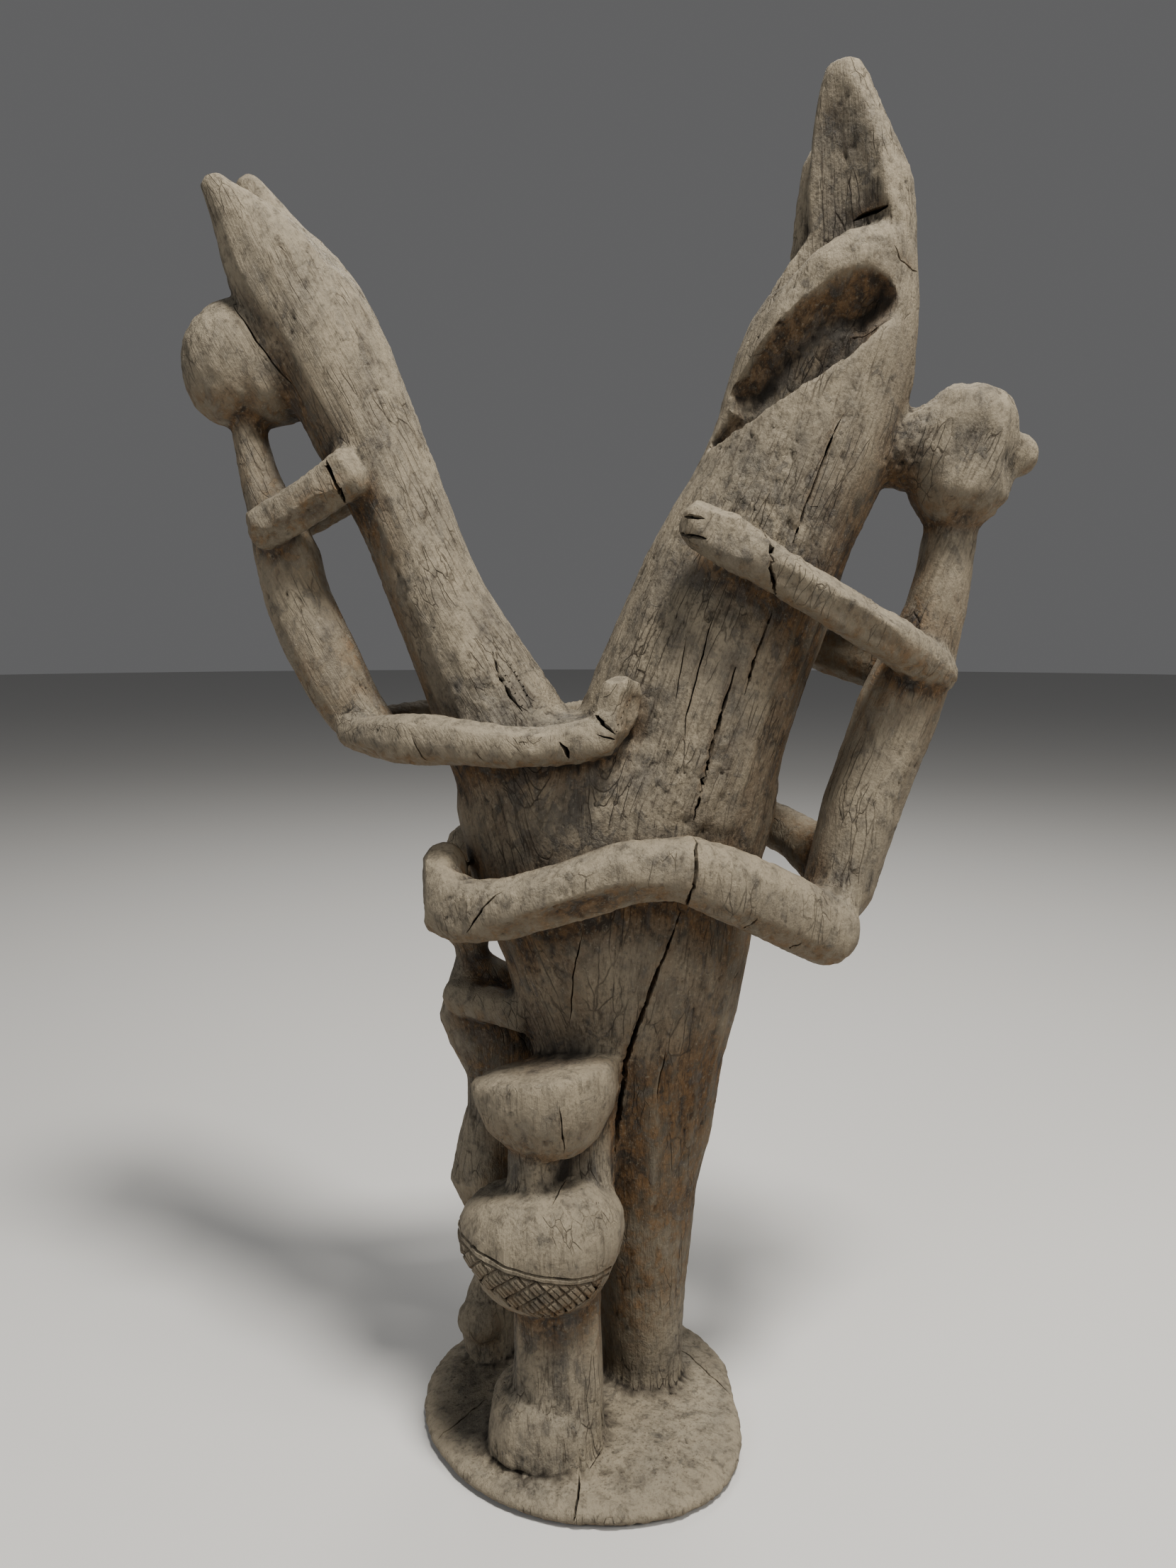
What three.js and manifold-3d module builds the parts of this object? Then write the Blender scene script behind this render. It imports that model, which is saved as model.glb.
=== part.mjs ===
// A forked post carved from one log together with its round base. Two clinging figures
// sit on the outer sides of the prongs, their arms round the prong and their legs round
// the trunk. A third figure stands behind on the left, and a stack of two bowls stands
// in front. Millimetres, +Z up, the origin at the middle of the base's underside.

import * as THREE from "three";
import { mergeVertices } from "three/addons/utils/BufferGeometryUtils.js";
import Module from "manifold-3d";

const wasm = await Module();
wasm.setup();

// Driving dimensions. The skeleton below was drawn for a post 850 mm high.
const HEIGHT = 850;
const DRAWN_HEIGHT = 850;
const SCALE = HEIGHT / DRAWN_HEIGHT;

// Base: its radius every 45 degrees from +X, its rim height and its height in the middle.
const BASE_RADII = [102, 113, 111, 115, 109, 104, 108, 117];
const BASE_RIM = 12;
const BASE_CROWN = 22;

// The plane half way through the right prong's thickness, where its tip is split in two.
const RIGHT_SPLIT_Y = 2;

const DEPTH = new THREE.Vector3(0, 1, 0);
const UPRIGHT = new THREE.Vector3(0, 0, 1);

// Turns a closed three.js geometry into a solid that can be joined and cut.
function solid(geometry) {
  const bare = new THREE.BufferGeometry();
  bare.setAttribute("position", geometry.getAttribute("position"));
  bare.setIndex(geometry.getIndex());
  const merged = mergeVertices(bare, 1e-4);
  const index = merged.getIndex().array;
  const triangles = [];
  for (let i = 0; i < index.length; i += 3) {
    const [a, b, c] = [index[i], index[i + 1], index[i + 2]];
    if (a !== b && b !== c && c !== a) triangles.push(a, b, c);
  }
  const mesh = new wasm.Mesh({
    numProp: 3,
    vertProperties: new Float32Array(merged.getAttribute("position").array),
    triVerts: new Uint32Array(triangles),
  });
  return new wasm.Manifold(mesh);
}

function join(solids) {
  return solids.reduce((all, next) => all.add(next));
}

// A carved limb: a closed, round-ended loft along a smooth line through stations
// [x, y, z, across, along]. Each gives a centre and the two half sizes of the section,
// along the direction named by towards and across it. A squareness over 2 gives the
// section flatter sides, and blunt flattens the rounded ends.
function limb(stations, options = {}) {
  const { towards = DEPTH, sides = 12, rings = 8, square = 2, blunt = 1, capRings = 2 } = options;
  const line = new THREE.CatmullRomCurve3(stations.map((s) => new THREE.Vector3(s[0], s[1], s[2])));
  const sizes = new THREE.CatmullRomCurve3(
    stations.map((s) => new THREE.Vector3(s[3], s[4], 0)),
    false,
    "catmullrom",
    0.5,
  );
  const geometry = new THREE.CapsuleGeometry(1, 1, capRings, sides, rings);
  const position = geometry.getAttribute("position");
  const p = new THREE.Vector3();
  for (let i = 0; i < position.count; i += 1) {
    p.fromBufferAttribute(position, i);
    const t = THREE.MathUtils.clamp(p.y + 0.5, 0, 1);
    const beyond = p.y + 0.5 - t;
    const tangent = line.getTangent(t);
    const along = towards.clone().addScaledVector(tangent, -towards.dot(tangent)).normalize();
    const across = new THREE.Vector3().crossVectors(tangent, along);
    const size = sizes.getPoint(t);
    const radius = Math.hypot(p.x, p.z);
    let squared = 0;
    if (radius > 1e-6) {
      const power = Math.abs(p.x / radius) ** square + Math.abs(p.z / radius) ** square;
      squared = power ** (-1 / square);
    }
    const end = 0.5 * (size.x + size.y) * blunt * beyond;
    const out = line.getPoint(t);
    out.addScaledVector(across, p.x * squared * size.x);
    out.addScaledVector(along, p.z * squared * size.y);
    out.addScaledVector(tangent, end);
    position.setXYZ(i, out.x, out.y, out.z);
  }
  return solid(geometry);
}

// An egg-shaped lump, turned about +Y by a lean in degrees.
function lump([x, y, z], [rx, ry, rz], lean = 0, sides = 16) {
  const geometry = new THREE.SphereGeometry(1, sides, Math.round(sides * 0.7));
  geometry.rotateX(Math.PI / 2);
  geometry.scale(rx, ry, rz);
  geometry.rotateY(THREE.MathUtils.degToRad(lean));
  geometry.translate(x, y, z);
  return solid(geometry);
}

// The same limb on the far side of a plane y = middle, a little drawn in or let out, and
// a little higher.
function farSide(stations, middle, spread = 1, lift = 0) {
  return stations.map(([x, y, z, across, along]) => [x, middle + (middle - y) * spread, z + lift, across, along]);
}

// The low domed base. Its outline is not quite round.
function base() {
  const profile = [
    [0, 0],
    [0.9, 0],
    [0.965, 1.5],
    [1, 5.5],
    [0.985, BASE_RIM - 3],
    [0.93, BASE_RIM],
    [0.7, BASE_RIM + 4],
    [0.35, BASE_CROWN - 1.5],
    [0, BASE_CROWN],
  ];
  const geometry = new THREE.LatheGeometry(profile.map(([r, z]) => new THREE.Vector2(r, z)), 36);
  geometry.rotateX(Math.PI / 2);
  const outline = new THREE.CatmullRomCurve3(
    BASE_RADII.map((r) => new THREE.Vector3(r, 0, 0)),
    true,
    "catmullrom",
    0.5,
  );
  const position = geometry.getAttribute("position");
  for (let i = 0; i < position.count; i += 1) {
    const [x, y] = [position.getX(i), position.getY(i)];
    const turn = (Math.atan2(y, x) / (2 * Math.PI) + 1) % 1;
    const radius = outline.getPoint(turn).x;
    position.setXY(i, x * radius, y * radius);
  }
  return solid(geometry);
}

function trunk() {
  return limb(
    [
      [39, 20, 12, 27, 28],
      [39, 19, 42, 28, 29],
      [37, 15, 144, 35, 36],
      [36, 11, 205, 50, 43],
      [29, 8, 262, 66, 50],
      [28, 4, 315, 78, 56],
      [20, 2, 385, 95, 59],
      [20, 2, 426, 102, 60],
      [22, 2, 458, 98, 55],
    ],
    { sides: 22, rings: 11, blunt: 0.2 },
  );
}

// The thick prong on the right: its whole outline, before the hollows are cut.
const RIGHT_PRONG = [
  [48, 2, 420, 68, 58],
  [71, 1, 491, 63, 56],
  [94, -1, 549, 60, 52],
  [108, -2, 583, 55, 50],
  [121, -3, 610, 53, 48],
  [133, -4, 636, 54, 46],
  [139, -5, 662, 54, 44],
  [147, -6, 690, 51, 42],
  [157, -6, 722, 42, 38],
  [163, -6, 750, 31, 34],
  [160, -7, 781, 30, 29],
  [154, -8, 808, 23, 23],
  [150, -9, 836, 14, 14],
];

// The roll that winds up the front of the right prong, above its deep hollow.
const ROLL = [
  [178, -20, 736, 15, 14],
  [168, -25, 735, 21, 17],
  [152, -28, 730, 19, 17],
  [138, -26, 722, 17, 16],
  [126, -19, 711, 15, 14],
  [115, -14, 700, 13, 13],
  [103, -11, 686, 10, 11],
  [93, -8, 668, 6, 9],
  [87, -6, 650, 4, 7],
  [84, -5, 636, 3, 6],
];

// The hollow runs inwards and down, so its lower edge is a sharp lip.
const HOLLOW = [
  [167, -46, 711, 8, 17],
  [150, -48, 702, 13, 26],
  [129, -46, 687, 15, 29],
  [110, -40, 670, 14, 27],
  [96, -32, 656, 12, 21],
  [88, -22, 644, 9, 15],
  [82, -12, 632, 5, 9],
];
const HOLLOW_TOWARDS = new THREE.Vector3(0.45, 0.65, -0.62);

// The facet on the near leaf faces left. It ends on the roll, along a slanting plane.
const FACET = [
  [90, -92, 880, 80, 80],
  [97, -86, 845, 80, 80],
  [102, -83, 808, 80, 80],
  [106, -84, 781, 80, 80],
  [109, -84, 750, 80, 80],
  [98, -86, 700, 80, 80],
];
const FACET_END = { normal: [-0.32, 0, 0.95], offset: 646.8 };

const REAR_LEAF = [
  [148, 18, 690, 28, 18],
  [143, 20, 740, 19, 16],
  [142, 21, 774, 14, 14],
  [141, 22, 797, 11, 11],
  [146, 22, 812, 8, 8],
];

const LEAF_GAP = [
  [112, RIGHT_SPLIT_Y + 6, 742, 8, 2],
  [118, RIGHT_SPLIT_Y + 7, 776, 15, 4],
  [126, RIGHT_SPLIT_Y + 7, 812, 22, 5],
  [138, RIGHT_SPLIT_Y + 8, 850, 30, 7],
];

// A short slit above the right end of the roll.
const SLIT = [
  [169, -40, 758, 1.5, 5],
  [158, -41, 756, 3, 8],
  [146, -38, 751, 1.5, 6],
];

function rightProng() {
  const body = limb(RIGHT_PRONG, { sides: 20, rings: 17 });
  const roll = limb(ROLL, { sides: 12, rings: 10 });
  const hollow = limb(HOLLOW, { towards: HOLLOW_TOWARDS, sides: 12, rings: 8 });
  const facet = limb(FACET, { sides: 24, rings: 5 }).trimByPlane(FACET_END.normal, FACET_END.offset);
  return body
    .subtract(hollow)
    .subtract(facet)
    .subtract(limb(LEAF_GAP, { sides: 8, rings: 4 }))
    .add(limb(REAR_LEAF, { sides: 10, rings: 5 }))
    .add(roll)
    .subtract(limb(SLIT, { sides: 6, rings: 3 }));
}

// The thinner prong on the left ends in two leaves, the near one in front of the far one.
const LEFT_PRONG = [
  [-40, 6, 440, 44, 50],
  [-66, 6, 493, 36, 42],
  [-86, 10, 532, 31, 37],
  [-104, 14, 575, 29, 34],
  [-119, 17, 610, 30, 33],
  [-137, 20, 648, 33, 34],
  [-156, 22, 690, 36, 36],
  [-168, 24, 710, 37, 36],
  [-177, 24, 724, 34, 34],
];

const NEAR_LEAF = [
  [-164, 17, 700, 33, 28],
  [-186, 15, 737, 31, 26],
  [-202, 12, 762, 22, 20],
  [-219, 9, 784, 10, 11],
];

const FAR_LEAF = [
  [-158, 32, 700, 33, 26],
  [-175, 34, 735, 29, 24],
  [-190, 37, 762, 19, 17],
  [-207, 38, 795, 9, 9],
];

function leftProng() {
  return join([
    limb(LEFT_PRONG, { sides: 16, rings: 11, blunt: 0.7, square: 1.85 }),
    limb(NEAR_LEAF, { sides: 12, rings: 5 }),
    limb(FAR_LEAF, { sides: 12, rings: 5 }),
  ]);
}

const RIGHT_ARM = [
  [212, -20, 499, 14, 14],
  [163, -50, 528, 14, 14],
  [108, -65, 557, 13, 13],
  [84, -68, 571, 15, 13],
  [66, -63, 583, 15, 12],
];

const RIGHT_FAR_ARM = [
  [204, 8, 493, 15, 15],
  [178, 32, 504, 15, 15],
  [150, 48, 515, 15, 15],
  [108, 60, 532, 14, 13],
  [72, 62, 552, 14, 13],
];

const RIGHT_LEG = [
  [150, -32, 341, 22, 22],
  [98, -60, 371, 21, 22],
  [46, -74, 391, 17, 19],
  [-10, -70, 374, 17, 18],
  [-66, -56, 359, 18, 19],
  [-86, -42, 365, 15, 22],
  [-86, -18, 379, 14, 20],
];

const RIGHT_FAR_LEG = [
  [160, 14, 372, 20, 20],
  [130, 48, 394, 15, 15],
  [92, 66, 402, 16, 16],
  [40, 74, 397, 16, 17],
  [-15, 68, 382, 16, 17],
  [-60, 50, 374, 16, 18],
  [-80, 26, 382, 14, 17],
];

function rightFigure() {
  const head = limb(
    [
      [221, -8, 596, 24, 24],
      [223, -9, 610, 32, 30],
      [225, -10, 634, 33, 32],
      [233, -10, 656, 24, 27],
    ],
    { sides: 12, rings: 4, square: 2.4, blunt: 0.5 },
  );
  const snout = lump([257, -12, 627], [14, 12, 13], 0, 10);
  const contact = limb(
    [
      [218, -9, 626, 24, 20],
      [194, -8, 630, 24, 18],
      [180, -7, 634, 24, 18],
    ],
    { sides: 10, rings: 2 },
  );
  const body = limb(
    [
      [221, -8, 606, 15, 15],
      [220, -8, 574, 16, 15],
      [215, -8, 540, 18, 17],
      [204, -8, 505, 23, 21],
      [195, -8, 480, 26, 23],
      [181, -8, 441, 25, 24],
      [169, -9, 403, 24, 26],
      [157, -12, 362, 22, 27],
    ],
    { sides: 12, rings: 10 },
  );
  return join([
    head,
    snout,
    contact,
    body,
    limb(RIGHT_ARM, { sides: 10, rings: 6 }),
    limb(RIGHT_FAR_ARM, { sides: 8, rings: 5 }),
    limb(RIGHT_LEG, { towards: UPRIGHT, sides: 12, rings: 10, square: 2.4, blunt: 0.6 }),
    limb(RIGHT_FAR_LEG, { towards: UPRIGHT, sides: 10, rings: 9, blunt: 0.6 }),
  ]);
}

const LEFT_ARM = [
  [-198, -3, 584, 13, 12],
  [-173, -8, 597, 14, 13],
  [-153, -12, 609, 14, 13],
  [-139, -12, 618, 16, 13],
];

const LEFT_LEG = [
  [-149, -4, 460, 7, 9],
  [-112, -30, 459, 14, 15],
  [-76, -47, 460, 14, 14],
  [-43, -56, 457, 13, 12],
  [-10, -60, 459, 13, 12],
  [14, -58, 466, 13, 13],
  [22, -54, 490, 12, 12],
];

function leftFigure() {
  const head = lump([-217, 24, 687], [33, 30, 39], 8, 13);
  const chin = lump([-196, 25, 680], [34, 27, 31], -6, 12);
  const body = limb(
    [
      [-211, 24, 662, 12, 13],
      [-207, 23, 634, 11, 12],
      [-199, 22, 605, 14, 15],
      [-188, 20, 573, 20, 18],
      [-180, 19, 540, 21, 19],
      [-165, 15, 508, 22, 20],
      [-148, 12, 476, 20, 20],
      [-134, 8, 462, 16, 20],
    ],
    { sides: 12, rings: 9 },
  );
  return join([
    head,
    chin,
    body,
    limb(LEFT_ARM, { sides: 10, rings: 4, square: 2.6, blunt: 0.5 }),
    limb(farSide(LEFT_ARM, 22, 1, 6), { sides: 8, rings: 4, blunt: 0.5 }),
    limb(LEFT_LEG, { towards: UPRIGHT, sides: 10, rings: 10, square: 2.4, blunt: 0.7 }),
    limb(farSide(LEFT_LEG, 8, 1, 4), { towards: UPRIGHT, sides: 8, rings: 8, blunt: 0.7 }),
  ]);
}

function standingFigure() {
  const head = lump([-78, 38, 338], [21, 22, 27], 0, 12);
  const body = limb(
    [
      [-76, 36, 322, 12, 12],
      [-75, 36, 304, 12, 12],
      [-68, 34, 284, 33, 20],
      [-60, 33, 258, 34, 22],
      [-52, 33, 222, 27, 20],
      [-59, 35, 184, 25, 20],
      [-69, 36, 156, 26, 22],
      [-63, 36, 122, 15, 18],
      [-62, 37, 84, 14, 16],
      [-68, 40, 46, 20, 19],
      [-67, 42, 22, 19, 20],
    ],
    { sides: 12, rings: 13, blunt: 0.4 },
  );
  const arm = [
    [-82, 22, 283, 13, 13],
    [-60, 8, 281, 12, 12],
    [-36, -4, 280, 14, 12],
  ];
  const farArm = [
    [-78, 46, 283, 13, 13],
    [-52, 54, 282, 12, 12],
    [-14, 50, 282, 12, 12],
  ];
  return join([
    head,
    body,
    limb(arm, { sides: 8, rings: 3 }),
    limb(farArm, { sides: 8, rings: 3 }),
  ]);
}

function bowls() {
  const upper = limb(
    [
      [-19, -50, 210, 22, 22],
      [-20, -49, 222, 34, 34],
      [-22, -47, 236, 43, 41],
      [-24, -45, 252, 45, 43],
      [-25, -44, 258, 44, 42],
    ],
    { sides: 14, rings: 5, blunt: 0.1 },
  );
  const neck = limb(
    [
      [-30, -50, 176, 19, 20],
      [-31, -50, 200, 16, 19],
      [-26, -50, 222, 22, 22],
    ],
    { sides: 12, rings: 3 },
  );
  const lower = limb(
    [
      [-20, -52, 110, 18, 18],
      [-21, -52, 122, 33, 33],
      [-23, -52, 135, 43, 42],
      [-25, -50, 150, 50, 46],
      [-28, -50, 165, 52, 46],
      [-30, -49, 177, 46, 40],
      [-31, -48, 184, 38, 32],
    ],
    { sides: 16, rings: 8, blunt: 0.12 },
  );
  const stem = limb(
    [
      [-17, -44, 30, 30, 30],
      [-17, -46, 67, 28, 26],
      [-17, -46, 124, 27, 26],
    ],
    { sides: 10, rings: 3, square: 3 },
  );
  const foot = limb(
    [
      [-24, -46, 16, 37, 36],
      [-24, -45, 36, 36, 35],
      [-22, -44, 48, 31, 31],
    ],
    { sides: 14, rings: 3, square: 2.6, blunt: 0.2 },
  );
  const web = limb(
    [
      [-12, -36, 160, 30, 24],
      [-8, -30, 196, 28, 24],
      [-12, -30, 232, 32, 24],
    ],
    { sides: 12, rings: 3 },
  );
  return join([upper, neck, lower, stem, foot, web]);
}

function toGeometry(manifold) {
  const mesh = manifold.getMesh();
  const geometry = new THREE.BufferGeometry();
  geometry.setAttribute("position", new THREE.BufferAttribute(new Float32Array(mesh.vertProperties), 3));
  geometry.setIndex(new THREE.BufferAttribute(new Uint32Array(mesh.triVerts), 1));
  geometry.scale(SCALE, SCALE, SCALE);
  geometry.computeVertexNormals();
  return geometry;
}

const carving = join([
  base(),
  trunk(),
  rightProng(),
  leftProng(),
  rightFigure(),
  leftFigure(),
  standingFigure(),
  bowls(),
]);

const weatheredWood = new THREE.MeshStandardMaterial({ color: 0x7d705c, roughness: 0.85, metalness: 0 });
const post = new THREE.Mesh(toGeometry(carving), weatheredWood);
post.name = "carved_post";

const figure = new THREE.Group();
figure.add(post);

export default figure;
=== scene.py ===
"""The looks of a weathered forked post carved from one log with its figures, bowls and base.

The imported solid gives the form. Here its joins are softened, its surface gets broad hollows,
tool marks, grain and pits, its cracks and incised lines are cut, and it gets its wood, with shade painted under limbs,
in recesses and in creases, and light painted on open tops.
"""
import math

import bmesh
import bpy
import numpy as np
from bpy.props import FloatProperty, FloatVectorProperty, IntProperty, PointerProperty
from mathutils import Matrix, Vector, noise
from mathutils.bvhtree import BVHTree


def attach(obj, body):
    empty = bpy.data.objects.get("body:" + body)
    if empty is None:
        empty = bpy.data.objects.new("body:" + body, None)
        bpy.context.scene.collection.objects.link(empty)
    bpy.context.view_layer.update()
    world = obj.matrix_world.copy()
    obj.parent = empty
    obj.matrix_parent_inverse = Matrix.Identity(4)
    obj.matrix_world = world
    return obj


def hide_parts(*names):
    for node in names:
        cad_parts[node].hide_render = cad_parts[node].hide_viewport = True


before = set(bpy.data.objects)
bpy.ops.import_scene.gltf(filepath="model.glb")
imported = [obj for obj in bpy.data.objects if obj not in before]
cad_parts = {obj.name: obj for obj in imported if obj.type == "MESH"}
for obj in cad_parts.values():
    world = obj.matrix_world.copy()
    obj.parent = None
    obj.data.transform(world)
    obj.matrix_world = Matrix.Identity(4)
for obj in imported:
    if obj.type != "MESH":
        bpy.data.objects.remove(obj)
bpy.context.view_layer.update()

bl_info = {
    "name": "Weathered Forked Post",
    "version": (1, 0, 0),
    "blender": (4, 5, 0),
    "location": "View3D > Sidebar > Post",
    "description": "Carves, weathers and lights a forked wooden post with clinging figures",
    "category": "Object",
}

SOLID = "carved_post"
PIECE = "weathered_post"
MM = 0.001

# The grain follows the log up the trunk and then each prong: heights and middles, in mm.
GRAIN_HEIGHTS = [0, 260, 420, 540, 640, 730, 850]
RIGHT_MIDDLE = [37, 29, 48, 92, 133, 158, 152]
LEFT_MIDDLE = [37, 29, -20, -90, -136, -184, -240]
FORK_MIDDLE = -8
FORK_BLEND = 25

# Ellipsoids that fill a join before the surface is evened: a middle and half sizes, in mm.
FILLS = {
    "head_join": ((203, -13, 630), (18, 21, 27)),
    "standing_foot": ((-72, 27, 51), (16, 15, 16)),
    "standing_thigh": ((-66, 22, 158), (13, 14, 22)),
}

# Places pulled along: a middle, a reach and the shift, in mm.
PULLS = {
    "standing_shin": ((-78, 36, 92), 30, (5, 0, 0)),
}

# Shallow troughs: a path, its reach to each side and its depth, in mm.
TROUGHS = {
    "leaf_crease": ([(152, -22, 757), (160, -27, 756), (169, -33, 757), (176, -36, 752)], 7, 2),
    "hand_back": ([(88, -78, 580), (97, -77, 575)], 7, 1.2),
}

# Planes that open the hollow's roof: a path, the way the plane faces, its reach and its depth.
ROOFS = {
    "hollow_roof": (
        [(97, -25, 667), (108, -29, 683), (119, -34, 695), (131, -38, 704), (145, -40, 709), (157, -39, 708)],
        (0.12, -0.8, -0.58), 20, 5.5,
    ),
}

# Flats left by the adze: a path on the surface, the way the flat faces, its reach and its depth.
FLATS = {
    "head_front": ([(222, -41, 638), (230, -40, 620)], (-0.08, -0.99, 0.05), 24, 1.6),
    "head_side": ([(248, -33, 646), (249, -33, 628), (246, -32, 612)], (0.8, -0.6, 0.0), 16, 1.6),
    "head_low": ([(214, -33, 602), (230, -33, 602)], (0.0, -0.75, -0.66), 18, 1.4),
    "head_top": ([(214, -26, 658), (236, -22, 667)], (-0.2, -0.25, 0.95), 20, 1.2),
    "forearm_front": ([(112, -77, 565), (140, -74, 548), (168, -66, 533), (190, -56, 522)], (-0.1, -0.9, -0.42), 15, 1.4),
    "forearm_top": ([(118, -72, 574), (142, -66, 562), (168, -60, 548), (190, -50, 537)], (0.35, -0.45, 0.82), 14, 1.2),
    "hand_end": ([(55, -62, 582)], (-0.95, -0.3, 0.1), 15, 2.0),
    "hand_front": ([(68, -75, 583), (80, -78, 577)], (-0.1, -0.98, 0.15), 18, 1.8),
    "hand_top": ([(70, -66, 597), (84, -66, 592)], (0.15, -0.35, 0.92), 15, 1.5),
    "leg_under": (
        [(-55, -66, 348), (-20, -80, 360), (15, -88, 372), (46, -90, 378)], (-0.05, -0.72, -0.69), 17, 1.6,
    ),
    "leg_under_right": ([(80, -82, 362), (110, -68, 348), (140, -50, 332)], (0.15, -0.7, -0.7), 17, 1.4),
    "leg_top": ([(-50, -62, 378), (-15, -74, 391), (20, -78, 404)], (-0.15, -0.5, 0.85), 15, 1.2),
    "foot_side": ([(-98, -30, 385), (-98, -34, 366)], (-0.97, -0.22, 0.02), 24, 2.2),
    "foot_front": ([(-86, -58, 378), (-84, -62, 362)], (-0.3, -0.95, 0.05), 20, 2.2),
    "foot_inner": ([(-73, -36, 388), (-70, -48, 380)], (0.66, -0.6, 0.45), 15, 2.6),
    "left_arm_front": (
        [(-196, -15, 585), (-180, -20, 595), (-164, -24, 604), (-150, -25, 612)], (-0.15, -0.98, 0.12), 14, 1.6,
    ),
    "left_arm_top": ([(-190, -8, 597), (-172, -12, 609), (-155, -16, 620)], (-0.4, -0.3, 0.87), 13, 1.2),
    "left_arm_low": ([(-186, -14, 577), (-168, -20, 588), (-152, -22, 598)], (0.1, -0.7, -0.7), 13, 1.4),
    "left_arm_end": ([(-205, -10, 583)], (-0.9, -0.4, -0.15), 13, 2.5),
    "left_arm_chip": ([(-196, -15, 576)], (-0.25, -0.85, -0.46), 9, 2.2),
    "left_knee_top": ([(-142, -14, 468)], (-0.45, -0.35, 0.82), 18, 3.4),
    "left_knee_low": ([(-136, -22, 450)], (-0.45, -0.45, -0.77), 18, 3.4),
    "left_leg_top": ([(-95, -44, 472), (-60, -58, 472), (-25, -66, 470)], (0.0, -0.45, 0.9), 14, 1.2),
    "left_foot_front": ([(15, -66, 490), (13, -70, 476)], (-0.5, -0.86, 0.06), 17, 2.6),
    "left_foot_right": ([(30, -62, 492), (29, -66, 476)], (0.72, -0.69, 0.08), 15, 2.4),
    "left_foot_top": ([(22, -52, 502)], (-0.25, -0.25, 0.93), 14, 2.0),
    "left_foot_end": ([(31, -62, 462)], (0.8, -0.5, -0.33), 14, 2.2),
    "stem_front": ([(-18, -72, 104), (-18, -72, 84), (-18, -73, 64)], (-0.1, -0.99, 0.05), 18, 1.0),
}

# Joins where everything flows together: a middle and a reach, in mm.
MELTS = {
    "hip": ((150, -32, 366), 34),
    "head_join": ((200, -24, 630), 26),
    "left_hip": ((-140, 0, 466), 24),
    "left_cheek": ((-196, 5, 690), 26),
}

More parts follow.
